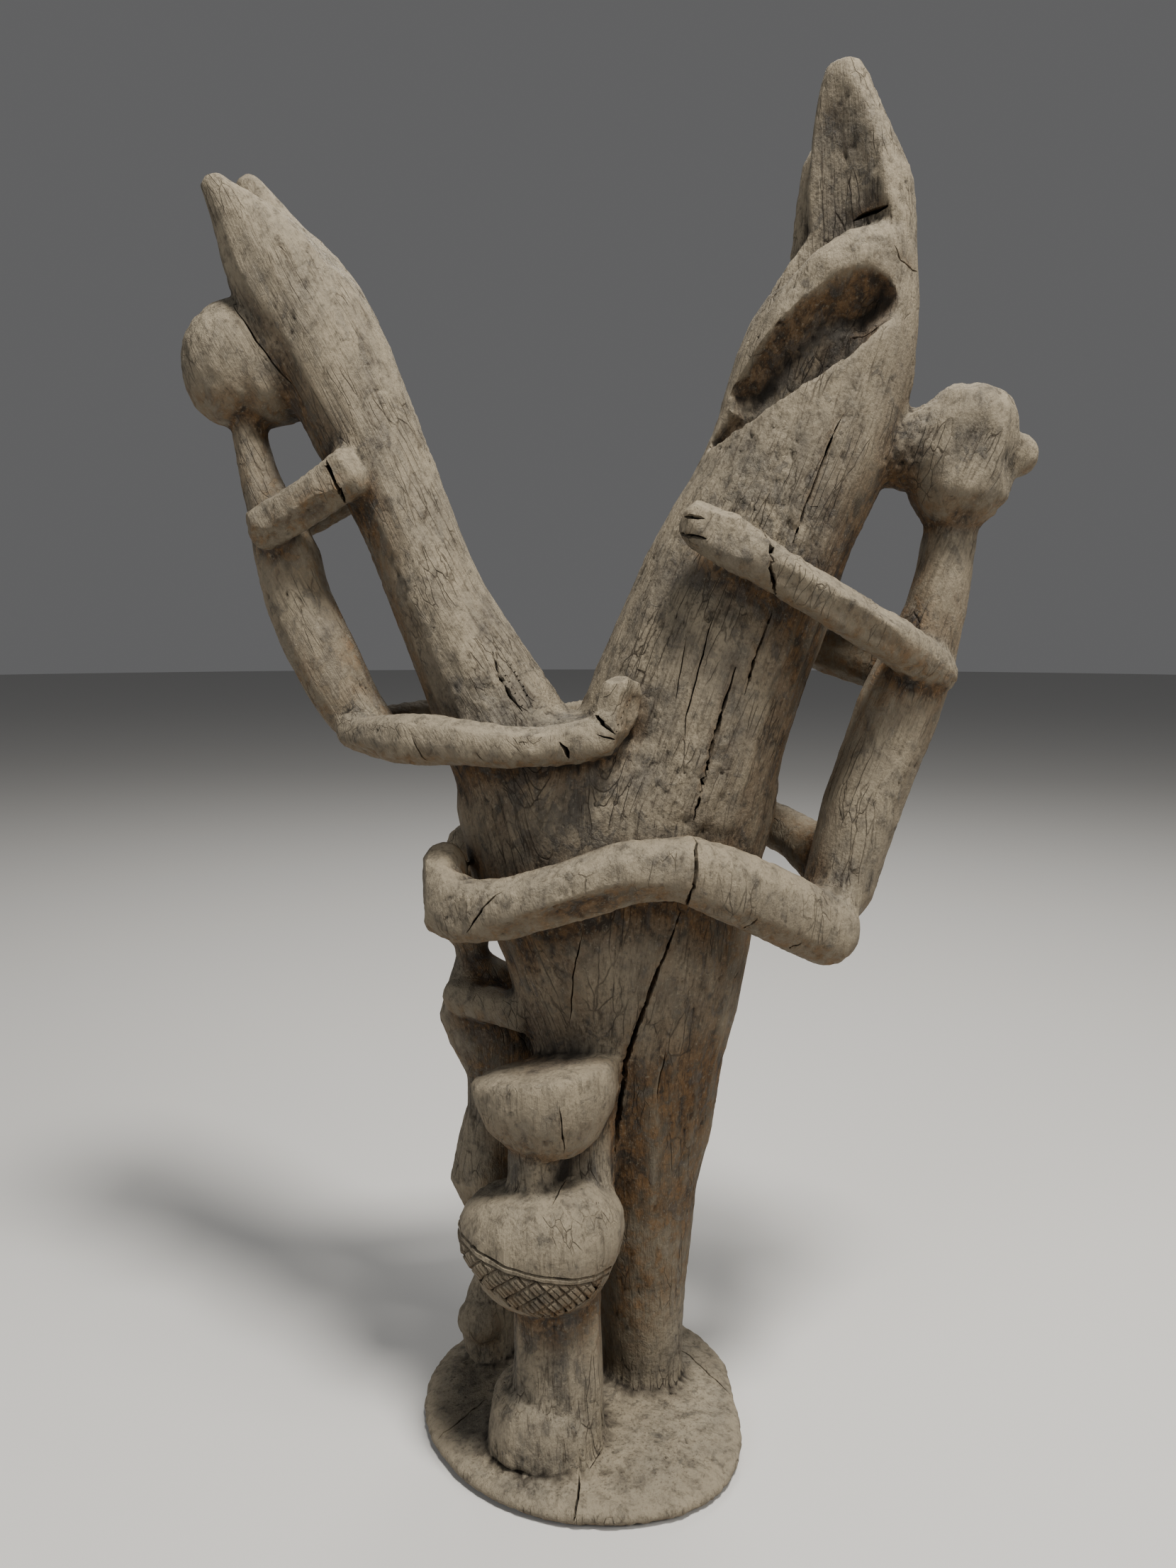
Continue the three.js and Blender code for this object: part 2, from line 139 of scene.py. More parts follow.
# Cracks: points on or near the surface in mm, the width at the mouth and the depth.
CRACKS = {
    "prong_high": ([(146, -48, 645), (141, -49, 635), (137, -49, 625), (128, -50, 600), (118, -50, 571)], 1.9, 7),
    "prong_low": ([(108, -50, 534), (103, -51, 520), (98, -51, 507), (93, -51, 487)], 2.2, 6),
    "trunk_side": ([(74, -52, 533), (67, -53, 507), (63, -54, 491), (59, -54, 475), (58, -55, 459)], 1.2, 4),
    "trunk_inner": ([(58, -52, 520), (55, -53, 500), (52, -54, 482)], 0.9, 3),
    "main_high": ([(87, -53, 503), (80, -53, 479), (74, -54, 456), (67, -54, 427), (63, -60, 412)], 2.8, 9),
    "main_leg": ([(62, -73, 408), (63, -87, 399), (62, -89, 386), (58, -83, 372), (57, -70, 364)], 3.0, 10),
    "main_low": (
        [(57, -50, 358), (49, -51, 335), (44, -51, 323), (32, -47, 287), (25, -42, 261), (22, -37, 233),
         (19, -32, 213), (16, -33, 191), (17, -34, 165)],
        3.8, 14,
    ),
    "trunk_left": ([(-1, -52, 346), (-7, -47, 317), (-9, -39, 284)], 1.3, 4),
    "trunk_right": ([(50, -42, 268), (47, -41, 250), (46, -40, 236)], 1.2, 3),
    "base_front": ([(-2, -80, 20), (-3, -86, 15), (-4, -96, 13), (-6, -108, 9), (-7, -110, 3)], 1.9, 7),
    "base_left": ([(-66, -12, 17), (-79, -26, 15), (-88, -35, 13), (-99, -43, 12)], 1.5, 5),
    "base_right": ([(62, 48, 17), (71, 40, 15), (85, 20, 14), (99, 2, 10)], 1.5, 4),
    "foot": ([(11, -48, 69), (10, -55, 43), (12, -52, 24), (8, -64, 17), (2, -76, 16)], 2.0, 7),
    "left_arm": ([(-152, -18, 627), (-152, -22, 621), (-149, -25, 614), (-145, -24, 606), (-142, -15, 598)], 3.4, 9),
    "right_arm": ([(99, -68, 580), (103, -75, 570), (103, -78, 558), (106, -68, 545), (107, -55, 540)], 3.2, 9),
    "knee_edge": ([(127, -60, 344), (123, -64, 337), (117, -66, 331)], 1.8, 5),
    "knee_inner": ([(99, -77, 361), (96, -77, 353), (90, -73, 346)], 1.6, 5),
    "left_foot": ([(-48, -77, 377), (-56, -76, 369), (-62, -74, 360), (-68, -70, 351)], 1.4, 4),
    "upper_bowl": ([(-14, -87, 253), (-13, -85, 237), (-12, -75, 218)], 1.1, 4),
    "web": ([(-11, -54, 194), (-15, -67, 191), (-19, -80, 189)], 1.0, 3),
    "prong_crease": ([(-211, 6, 717), (-198, 2, 696), (-183, 1, 680), (-170, -2, 662)], 1.6, 3),
    "fork_mark": ([(-54, -26, 512), (-51, -30, 500), (-44, -33, 486), (-37, -33, 476)], 3.4, 5),
    "leaf_slit": ([(153, -20, 757), (160, -25, 759), (168, -33, 760), (172, -35, 761)], 3.6, 9),
    "leaf_check": ([(174, -39, 738), (178, -37, 731), (186, -28, 728), (192, -21, 729)], 1.4, 4),
    "lip_check": ([(153, -30, 690), (163, -35, 694), (173, -40, 699)], 1.4, 4),
    "knee_notch": ([(-14, -73, 462), (-11, -74, 458), (-8, -72, 452)], 4.5, 7),
    "knee_nick": ([(-36, -66, 462), (-34, -68, 459)], 2.4, 4),
    "foot_split": ([(3, -64, 479), (8, -67, 474), (15, -71, 468), (19, -70, 465)], 2.6, 6),
    "foot_split_low": ([(6, -70, 466), (11, -71, 464), (19, -70, 462)], 1.8, 4),
    "shin_line": ([(-98, -44, 463), (-95, -49, 454), (-91, -50, 446)], 1.1, 3),
    "shin_line_inner": ([(-62, -62, 456), (-58, -65, 448)], 1.1, 3),
    "pit_line": ([(128, -49, 594), (133, -49, 594)], 3.0, 4),
}

# Rows of little holes: first and last points, how many, their width and depth, in mm.
HOLE_ROWS = {
    "foot_row": ((20, -71, 468), (30, -62, 484), 6, 1.5, 3),
    "prong_row": ((-42, -26, 504), (-34, -29, 486), 7, 1.8, 3),
    "prong_row_low": ((-47, -29, 498), (-36, -33, 480), 6, 1.6, 3),
}

# Notches between the fingers of the right figure's near hand.
FINGER_GAPS = {
    "finger_high": ([(55, -64, 587), (60, -71, 586), (66, -76, 585)], 2.8, 4),
    "finger_middle": ([(54, -62, 578), (60, -71, 576), (67, -76, 574)], 3.2, 4.5),
    "finger_low": ([(55, -60, 569), (60, -67, 567)], 2.4, 3.5),
}

# The incised band on the lower bowl, in mm.
BOWL_AXIS = (-28, -50)
BOWL_LINE_HEIGHT = 153
BOWL_LINE_TILT = -0.2
BOWL_LINE_GAP = 4.5
BOWL_REACH = 64
BOWL_HATCH_FOOT = 112
BOWL_HATCH_RISE = 24
BOWL_HATCH_MIDDLE = 12


def post_settings():
    return bpy.context.scene.post_sizes


def grain_place(points):
    """Where each point lies across and along the grain, from points in metres."""
    mm = points / MM
    right = np.interp(mm[:, 2], GRAIN_HEIGHTS, RIGHT_MIDDLE)
    left = np.interp(mm[:, 2], GRAIN_HEIGHTS, LEFT_MIDDLE)
    share = np.clip((mm[:, 0] - FORK_MIDDLE) / FORK_BLEND * 0.5 + 0.5, 0, 1)
    share = share * share * (3 - 2 * share)
    middle = left + (right - left) * share
    placed = mm.copy()
    placed[:, 0] -= middle
    return placed * MM


def positions(mesh):
    flat = np.empty(len(mesh.vertices) * 3, np.float32)
    mesh.vertices.foreach_get("co", flat)
    return flat.reshape(-1, 3).astype(float)


def normals(mesh):
    flat = np.empty(len(mesh.vertices) * 3, np.float32)
    mesh.vertices.foreach_get("normal", flat)
    return flat.reshape(-1, 3).astype(float)


def set_positions(mesh, points):
    mesh.vertices.foreach_set("co", points.astype(np.float32).ravel())
    mesh.update()


def settle(piece):
    """Makes the piece's mesh what its modifiers give, and drops them."""
    evaluated = piece.evaluated_get(bpy.context.evaluated_depsgraph_get())
    mesh = bpy.data.meshes.new_from_object(evaluated)
    piece.modifiers.clear()
    old = piece.data
    piece.data = mesh
    bpy.data.meshes.remove(old)


def new_piece(name, work):
    mesh = bpy.data.meshes.new(name)
    work.to_mesh(mesh)
    work.free()
    piece = bpy.data.objects.new(name, mesh)
    bpy.context.scene.collection.objects.link(piece)
    return piece


def solid_copy():
    """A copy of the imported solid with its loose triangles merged, and its joins filled."""
    work = bmesh.new()
    work.from_mesh(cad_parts[SOLID].data)
    bmesh.ops.remove_doubles(work, verts=work.verts, dist=1e-6)
    for middle, half_sizes in FILLS.values():
        lump = bmesh.ops.create_icosphere(work, subdivisions=3, radius=1)["verts"]
        bmesh.ops.scale(work, vec=Vector(half_sizes) * MM, verts=lump)
        bmesh.ops.translate(work, vec=Vector(middle) * MM, verts=lump)
    return new_piece(PIECE, work)


def soften(piece, sizes):
    """Even small faces all over, with the steps between the facets rounded."""
    remesh = piece.modifiers.new("even_faces", "REMESH")
    remesh.mode = "VOXEL"
    remesh.voxel_size = sizes.face_size
    smooth = piece.modifiers.new("rounding", "SMOOTH")
    smooth.factor = 0.5
    smooth.iterations = sizes.rounding
    settle(piece)


def neighbours(mesh):
    """The two ends of each edge, and how many edges meet at each vertex."""
    ends = np.empty(len(mesh.edges) * 2, np.int32)
    mesh.edges.foreach_get("vertices", ends)
    a, b = ends.reshape(-1, 2).T
    count = len(mesh.vertices)
    around = np.bincount(a, minlength=count) + np.bincount(b, minlength=count)
    return a, b, np.maximum(around, 1)


def averaged(values, links):
    """Each vertex's neighbours' mean."""
    a, b, around = links
    count = len(around)
    columns = []
    for column in values.T:
        columns.append((np.bincount(a, column[b], count) + np.bincount(b, column[a], count)) / around)
    return np.stack(columns, 1)


def fill_joins(piece, rounds, passes=10):
    """Fills only the inward corners, as where a leg grows out of the trunk."""
    mesh = piece.data
    links = neighbours(mesh)
    points = positions(mesh)
    for _ in range(rounds):
        outward = normals(mesh)
        for _ in range(passes):
            lift = ((averaged(points, links) - points) * outward).sum(1)
            points += outward * np.maximum(lift, 0)[:, None] * 0.6
        set_positions(mesh, points)


def melt_joins(piece, passes=60):
    """Smooths a few joins from both sides."""
    mesh = piece.data
    links = neighbours(mesh)
    points = positions(mesh)
    share = np.zeros(len(points))
    for middle, reach in MELTS.values():
        away = np.linalg.norm(points / MM - np.array(middle, float), axis=1) / reach
        share = np.maximum(share, np.clip(1.6 - 1.6 * away, 0, 1))
    for _ in range(passes):
        points += (averaged(points, links) - points) * share[:, None] * 0.6
    set_positions(mesh, points)


def falloff(share):
    """From 1 at the middle to 0 at the reach, with no corner at either."""
    share = np.clip(1 - share, 0, 1)
    return share * share * (3 - 2 * share)


def along(path, step):
    """Points of a path about a step apart."""
    points = [np.array(p, float) for p in path]
    out = [points[0]]
    for a, b in zip(points, points[1:]):
        count = max(1, round(np.linalg.norm(b - a) / step))
        out += [a + (b - a) * (i + 1) / count for i in range(count)]
    return out


def unit(way):
    return np.array(way, float) / np.linalg.norm(way)


def pare(points, middle, facing, reach, height):
    """Cuts away what stands above a plane, within a reach of the middle."""
    away = np.linalg.norm(points - middle, axis=1) / reach
    near = away < 1
    proud = points[near] @ unit(facing) - height
    share = np.clip(3 - 3 * away[near], 0, 1)
    points[near] -= np.maximum(proud, 0)[:, None] * share[:, None] * unit(facing)


def carve_forms(piece):
    """Troughs and adze flats, as vertex moves on the evened surface."""
    mesh = piece.data
    surface = surface_of(piece)
    points = positions(mesh) / MM
    for middle, reach, shift in PULLS.values():
        away = np.linalg.norm(points - np.array(middle, float), axis=1) / reach
        points += np.array(shift, float) * falloff(away)[:, None]
    outward = normals(mesh)
    for path, reach, depth in TROUGHS.values():
        away = np.min([np.linalg.norm(points - p, axis=1) for p in along(path, 2)], axis=0) / reach
        points -= outward * (depth * falloff(away))[:, None]
    for path, facing, reach, depth in ROOFS.values():
        for p in along(path, reach * 0.4):
            p = np.array(surface.find_nearest(Vector(p) * MM)[0]) / MM
            pare(points, p, facing, reach, p @ unit(facing) - depth)
    for path, facing, reach, depth in FLATS.values():
        for p in along(path, reach * 0.4):
            p = np.array(surface.find_nearest(Vector(p) * MM)[0]) / MM
            near = np.linalg.norm(points - p, axis=1) < reach * 0.7
            pare(points, p, facing, reach, (points[near] @ unit(facing)).max() - depth)
    set_positions(mesh, points * MM)


def relief_height(p, q, worn):
    """Height of the surface in mm at a point p, with q its place in the grain, both in mm."""
    broad = 0.9 * noise.noise(Vector((p[0] / 36, p[1] / 36, p[2] / 50)))
    near, _ = noise.voronoi(Vector((q[0] / 14, q[1] / 14, q[2] / 30)))
    scoops = 0.9 * (near[0] * near[0] - 0.22)
    ridges = 0.55 * noise.noise(Vector((q[0] / 4.2, q[1] / 4.2, q[2] / 52)))
    lumps = 0.28 * noise.noise(Vector((p[0] / 7, p[1] / 7, p[2] / 9)))
    patch = noise.noise(Vector((p[0] / 26, p[1] / 26 + 3, p[2] / 40))) + worn
    crusty = min(1.6, max(0.15, patch + 0.3))
    crust = crusty * 0.75 * noise.noise(Vector((p[0] / 3.3, p[1] / 3.3 + 11, p[2] / 3.9)))
    pit = noise.noise(Vector((p[0] / 2.9 + 7, p[1] / 2.9, p[2] / 4)))
    pits = -1.8 * max(0.0, pit - 0.3) * min(1.5, max(0.0, patch + 0.1) * 3)
    return broad + scoops + ridges + lumps + crust + pits


# Places where the surface is more eroded: a middle, a radius and an extra amount.
ERODED = [
    ((190, -24, 632), 20, 1.0),
    ((108, -48, 610), 46, 0.6),
    ((80, -50, 560), 40, 0.5),
    ((150, -38, 775), 34, 0.5),
    ((130, -38, 690), 34, 0.4),
    ((-48, -34, 492), 34, 0.9),
    ((45, -50, 440), 34, 0.7),
    ((75, -50, 440), 26, 0.5),
    ((14, -50, 455), 24, 0.8),
    ((-60, -70, 355), 24, 0.3),
    ((60, -20, 60), 36, 0.5),
    ((-118, -14, 560), 30, 0.4),
]


def weather(piece):
    """Moves the surface in and out for hollows, tool marks, grain and pits."""
    mesh = piece.data
    points = positions(mesh)
    outward = normals(mesh)
    placed = grain_place(points) / MM
    mm = points / MM
    worn = np.zeros(len(points))
    for middle, radius, amount in ERODED:
        away = np.linalg.norm(mm - np.array(middle, float), axis=1)
        worn += amount * np.clip(1.4 - away / radius, 0, 1)
    heights = np.array([relief_height(p, q, w) for p, q, w in zip(mm, placed, worn)])
    standing = np.clip(mm[:, 2] / 3.0, 0, 1)
    points += outward * (heights * MM * standing)[:, None]
    points[:, 2] = np.maximum(points[:, 2], 0)
    set_positions(mesh, points)


def dense(path, step, wander, seed):
    """Points along a path about a step apart, wandering a little to each side, in metres."""
    points = [Vector(p) for p in path]
    out = []
    for a, b in zip(points, points[1:]):
        count = max(1, round((b - a).length / step))
        out += [a.lerp(b, i / count) for i in range(count)]
    out.append(points[-1])
    for i, p in enumerate(out):
        shift = noise.noise_vector(Vector((i * 0.45, seed, 0)))
        p += shift * wander
    return [p * MM for p in out]


def cutter_along(work, stations):
    """A closed blade of triangular section through stations of middle, normal, width and depth."""
    ring = None
    first = None
    for i, (middle, outward, width, depth) in enumerate(stations):
        before = stations[max(0, i - 1)][0]
        after = stations[min(len(stations) - 1, i + 1)][0]
        side = (after - before).cross(outward).normalized()
        lift = max(depth * 0.35, 0.6 * MM)
        corners = [
            middle + outward * lift + side * width * 0.65,
            middle + outward * lift - side * width * 0.65,
            middle - outward * depth,
        ]
        if ring is None:
            made = bmesh.ops.create_circle(work, segments=3, radius=1, cap_ends=True)
            ring = made["verts"]
            first = list(ring)
        else:
            edges = [e for e in {e for v in ring for e in v.link_edges} if e.verts[0] in ring and e.verts[1] in ring]
            order = list(ring)
            grown = bmesh.ops.extrude_edge_only(work, edges=edges)["geom"]
            fresh = [g for g in grown if isinstance(g, bmesh.types.BMVert)]
            ring = []
            for v in order:
                ring.append(next(w for w in fresh if any(e.other_vert(v) is w for e in v.link_edges)))
        for v, corner in zip(ring, corners):
            v.co = corner
    bmesh.ops.contextual_create(work, geom=ring)
    return first


def cut(piece, stations_list, name):
    """Cuts a group of blades out of the piece."""
    work = bmesh.new()
    for stations in stations_list:
        cutter_along(work, stations)
    bmesh.ops.recalc_face_normals(work, faces=work.faces)
    blades = new_piece(name, work)
    boolean = piece.modifiers.new(name, "BOOLEAN")
    boolean.operation = "DIFFERENCE"
    boolean.solver = "MANIFOLD"
    boolean.object = blades
    before = len(piece.data.vertices)
    settle(piece)
    bpy.data.objects.remove(blades)
    if len(piece.data.vertices) < before // 2:
        raise RuntimeError(f"the cut {name} took too much away")


def surface_of(piece):
    return BVHTree.FromObject(piece, bpy.context.evaluated_depsgraph_get())


def crack_stations(surface, path, width, depth, seed, step=4.0, wander=0.9):
    points = dense(path, step, wander, seed)
    stations = []
    last = len(points) - 1
    for i, p in enumerate(points):
        place, outward, _, _ = surface.find_nearest(p)
        taper = min(1.0, 0.25 + 1.5 * min(i, last - i) / max(1, last) * 2)
        vary = 0.85 + 0.3 * noise.noise(Vector((i * 0.6, seed, 4)))
        stations.append((place, outward, width * MM * taper * vary, depth * MM * taper))
    return stations


def bowl_stations(surface, turns, heights, width, depth):
    """Stations where level lines towards the bowl's axis meet its wall."""
    stations = []
    for turn, height in zip(turns, heights):
        a = math.radians(turn)
        towards = Vector((-math.sin(a), math.cos(a), 0))
        axis = Vector((BOWL_AXIS[0] * MM, BOWL_AXIS[1] * MM, height * MM))
        start = axis - towards * BOWL_REACH * MM
        place, outward, _, _ = surface.ray_cast(start, towards, BOWL_REACH * MM)
        if place is None or (place - axis).length > 57 * MM or (place - axis).length < 14 * MM:
            break
        if outward.dot(towards) > -0.2:
            break
        if height < BOWL_HATCH_FOOT + BOWL_HATCH_RISE * abs(math.sin(math.radians(turn - BOWL_HATCH_MIDDLE))):
            break
        stations.append((place, outward, width * MM, depth * MM))
    return stations


def bowl_line_height(turn, drop):
    across = BOWL_REACH * 0.8 * math.sin(math.radians(turn))
    return BOWL_LINE_HEIGHT + BOWL_LINE_TILT * across - drop


def bowl_lines(surface, sizes):
    """The double line round the bowl and the crossed lines below it."""
    width = sizes.line_width / MM
    depth = sizes.line_depth / MM
    rings, right, left, fine = [], [], [], []
    for drop in (0, BOWL_LINE_GAP):
        turns = list(range(-128, 72, 5))
        rings.append(bowl_stations(surface, turns, [bowl_line_height(t, drop) for t in turns], width, depth))
    steps = 9
    fall = 39
    sweep = 52
    for start in range(-150, 100, 15):
        for lines, way in ((right, 1), (left, -1)):
            turns = [start + way * sweep * i / steps for i in range(steps + 1)]
            heights = [bowl_line_height(t, BOWL_LINE_GAP) - fall * i / steps for i, t in enumerate(turns)]
            lines.append(bowl_stations(surface, turns, heights, width, depth))
        turns = [start + 7.5 + sweep * i / steps for i in range(steps + 1)]
        heights = [bowl_line_height(t, BOWL_LINE_GAP) - fall * i / steps for i, t in enumerate(turns)]
        fine.append(bowl_stations(surface, turns, heights, width * 0.55, depth * 0.5))
    return [[s for s in group if len(s) > 2] for group in (rings, right, left, fine)]


def hole_stations(surface, first, last, count, width, depth, seed):
    """Short blades at a row of little holes."""
    groups = []
    for i in range(count):
        p = Vector(first).lerp(Vector(last), i / (count - 1)) * MM
        p += noise.noise_vector(Vector((i, seed, 3))) * 1.2 * MM
        place, outward, _, _ = surface.find_nearest(p)
        half = outward.orthogonal().normalized() * width * 0.5 * MM
        size = 0.7 + 0.5 * abs(noise.noise(Vector((i, seed, 9))))
        ends = [(place - half, 0.5), (place, 1.0), (place + half, 0.5)]
        groups.append([(p, outward, width * MM * size * k, depth * MM * size * k) for p, k in ends])
    return groups


def thin_out(piece, most):
    """Fewer faces where the surface is plain, so that the piece keeps within its count."""
    triangles = sum(len(p.vertices) - 2 for p in piece.data.polygons)
    decimate = piece.modifiers.new("fewer_faces", "DECIMATE")
    decimate.ratio = min(1.0, most / triangles)
    decimate.use_collapse_triangulate = True
    settle(piece)


def spread_average(values, links, passes):
    """Each vertex's values averaged with its neighbours', a number of times."""
    for _ in range(passes):
        values = 0.5 * values + 0.5 * averaged(values, links)
    return values


def sky_ways():
    """Directions over the upper half of the surroundings."""
    ways = [Vector((0, 0, 1))]
    for height, count in ((60, 5), (32, 7), (8, 7)):
        for i in range(count):
            turn = math.tau * (i + 0.3) / count
            level = math.cos(math.radians(height))
            ways.append(Vector((level * math.cos(turn), level * math.sin(turn), math.sin(math.radians(height)))))
    return ways


def open_sky(surface, points, outward):
    """How much of the sky each point sees, from 0 under a limb to 1 on an open top."""
    light = np.zeros(len(points))
    most = 0.0
    places = [Vector(p) for p in points]
    faces = [Vector(n) for n in outward]
    for way in sky_ways():
        most += max(0.0, way.z)
        facing = outward @ np.array(way)
        for i in np.nonzero(facing > 0.05)[0]:
            if surface.ray_cast(places[i] + faces[i] * 1.2 * MM, way, 0.4)[0] is None:
                light[i] += facing[i]
    return np.clip(light / most, 0, 1)


# Stains and painted shadow: a middle in mm, a radius, and the amount of dark patina, warm wood and dust there. On the
# left figure's torso and hips the dark and warm amounts are painted shadow from the prong.
STAINS_AND_SHADE = [
    ((45, -20, 120), 75, 0.0, 0.8, 0.0),
    ((60, -10, 230), 70, 0.1, 0.7, 0.0),
    ((-10, -60, 110), 60, 0.15, 0.4, 0.0),
    ((190, -10, 520), 70, 0.1, 0.5, 0.0),
    ((185, 0, 700), 50, 0.0, 0.4, 0.1),
    # Painted shadow: the left figure's torso and hips, darkened and browned where the prong shades them.
    ((-190, 10, 600), 60, 0.6, 0.5, 0.0),
    ((-150, 10, 500), 50, 0.4, 0.5, 0.0),
    ((95, -50, 570), 60, 0.5, 0.0, 0.1),
    ((150, -40, 790), 45, 0.45, 0.0, 0.0),
    ((120, -45, 680), 45, 0.5, 0.1, 0.0),
    ((-40, -45, 480), 55, 0.3, 0.0, 0.3),
    ((-10, -55, 410), 60, 0.45, 0.1, 0.0),
    ((-130, -5, 600), 60, 0.2, 0.4, 0.1),
    ((-205, 15, 760), 60, 0.1, 0.1, 0.5),
    ((235, -15, 620), 45, 0.3, 0.0, 0.3),
    ((-20, -60, 170), 60, 0.2, 0.0, 0.3),
    ((0, 0, 12), 120, 0.0, 0.0, 0.6),
    ((-70, 35, 260), 60, 0.5, 0.3, 0.0),
]


def store(mesh, name, values):
    kind = "FLOAT" if values.ndim == 1 else "FLOAT_VECTOR"
    attribute = mesh.attributes.new(name, kind, "POINT")
    key = "value" if values.ndim == 1 else "vector"
    attribute.data.foreach_set(key, values.astype(np.float32).ravel())


def record_surface(piece):
    """Keeps what the wood needs: the place in the grain, hollows for painted crease shade, open sky for painted shade
    and top light, and stains with painted shadow.
    """
    mesh = piece.data
    points = positions(mesh)
    outward = normals(mesh)
    mm = points / MM
    links = neighbours(mesh)
    store(mesh, "grain_place", grain_place(points))
    near = spread_average(points, links, 10)
    far = spread_average(near, links, 60)
    # How far each point lies below its neighbours; the wood paints shade into these creases.
    store(mesh, "hollow", np.clip(((near - points) * outward).sum(1) / MM, -3, 3))
    # How far each point lies below its wider surroundings: rubbed convex edges, and painted shade in broad recesses.
    store(mesh, "bend", np.clip(((far - points) * outward).sum(1) / MM, -6, 6))
    # Sky seen from each point; the wood paints shade where little sky reaches and light on open tops, besides their
    # dust.
    sky = open_sky(surface_of(piece), points, outward)
    store(mesh, "open_sky", spread_average(sky[:, None], links, 4)[:, 0])
    stains_and_shade = np.zeros((len(points), 3))
    for middle, radius, dark, warm, dust in STAINS_AND_SHADE:
        away = np.linalg.norm(mm - np.array(middle, float), axis=1) / radius
        stains_and_shade += falloff(away * 0.8)[:, None] * np.array([dark, warm, dust])
    store(mesh, "stains_and_shade", np.clip(stains_and_shade, 0, 1))


class WoodNodes:
    """Adds nodes to a material's tree, laid out in the order they are made."""

    def __init__(self, material):
        material.use_nodes = True
        self.tree = material.node_tree
        self.tree.nodes.clear()
        self.made = 0

    def add(self, kind, inputs=None, **settings):
        node = self.tree.nodes.new(kind)
        node.location = (240 * (self.made // 6), -220 * (self.made % 6))
        self.made += 1
        for key, value in settings.items():
            setattr(node, key, value)
        for key, value in (inputs or {}).items():
            self.put(node, key, value)
        return node

    def put(self, node, key, value):
        if isinstance(value, bpy.types.NodeSocket):
            self.tree.links.new(value, node.inputs[key])
        else:
            node.inputs[key].default_value = value

    def noise(self, place, scale, detail, roughness=0.55, distortion=0.0):
        """A soft pattern. The scale is three sizes in mm across, through and along the grain."""
        sized = self.add(
            "ShaderNodeVectorMath",
            {0: place, 1: tuple(1 / (s * MM) for s in scale)},
            operation="MULTIPLY",
        )
        node = self.add(
            "ShaderNodeTexNoise",
            {"Vector": sized.outputs[0], "Scale": 1.0, "Detail": detail, "Roughness": roughness,
             "Distortion": distortion},
        )
        return node.outputs["Fac"]

    def noise_shift(self, place, size, amount):
        """The place pushed about a little, by a share of the size in mm."""
        node = self.add(
            "ShaderNodeTexNoise",
            {"Vector": place, "Scale": 1 / (sum(size) / 3 * MM), "Detail": 3.0},
        )
        centred = self.add(
            "ShaderNodeVectorMath", {0: node.outputs["Color"], 1: (0.5, 0.5, 0.5)}, operation="SUBTRACT",
        )
        shift = self.add(
            "ShaderNodeVectorMath",
            {0: centred.outputs[0], 1: tuple(s * MM * amount for s in size)},
            operation="MULTIPLY",
        )
        return self.add("ShaderNodeVectorMath", {0: place, 1: shift.outputs[0]}, operation="ADD").outputs[0]

    def spread(self, value, low, high, to_low=0.0, to_high=1.0):
        node = self.add(
            "ShaderNodeMapRange",
            {"Value": value, "From Min": low, "From Max": high, "To Min": to_low, "To Max": to_high},
        )
        return node.outputs["Result"]

    def calc(self, operation, a, b=0.0, clamp=False):
        node = self.add("ShaderNodeMath", {0: a, 1: b}, operation=operation, use_clamp=clamp)
        return node.outputs[0]

    def mix(self, share, a, b, blend="MIX"):
        node = self.add("ShaderNodeMix", data_type="RGBA", blend_type=blend)
        self.put(node, 0, share)
        self.put(node, 6, a)
        self.put(node, 7, b)
        return node.outputs[2]


def rgba(colour):
    return (*colour, 1.0)


def line_net(n, place, size, width):
    """Thin lines between cells, from 0 off them to 1 on them. Sizes are in mm."""
    bent = n.noise_shift(place, size, 0.55)
    sized = n.add(
        "ShaderNodeVectorMath", {0: bent, 1: tuple(1 / (s * MM) for s in size)}, operation="MULTIPLY",
    )
    cells = n.add(
        "ShaderNodeTexVoronoi", {"Vector": sized.outputs[0], "Scale": 1.0}, feature="DISTANCE_TO_EDGE",
    )
    return n.spread(cells.outputs["Distance"], 0.0, width, 1.0, 0.0)


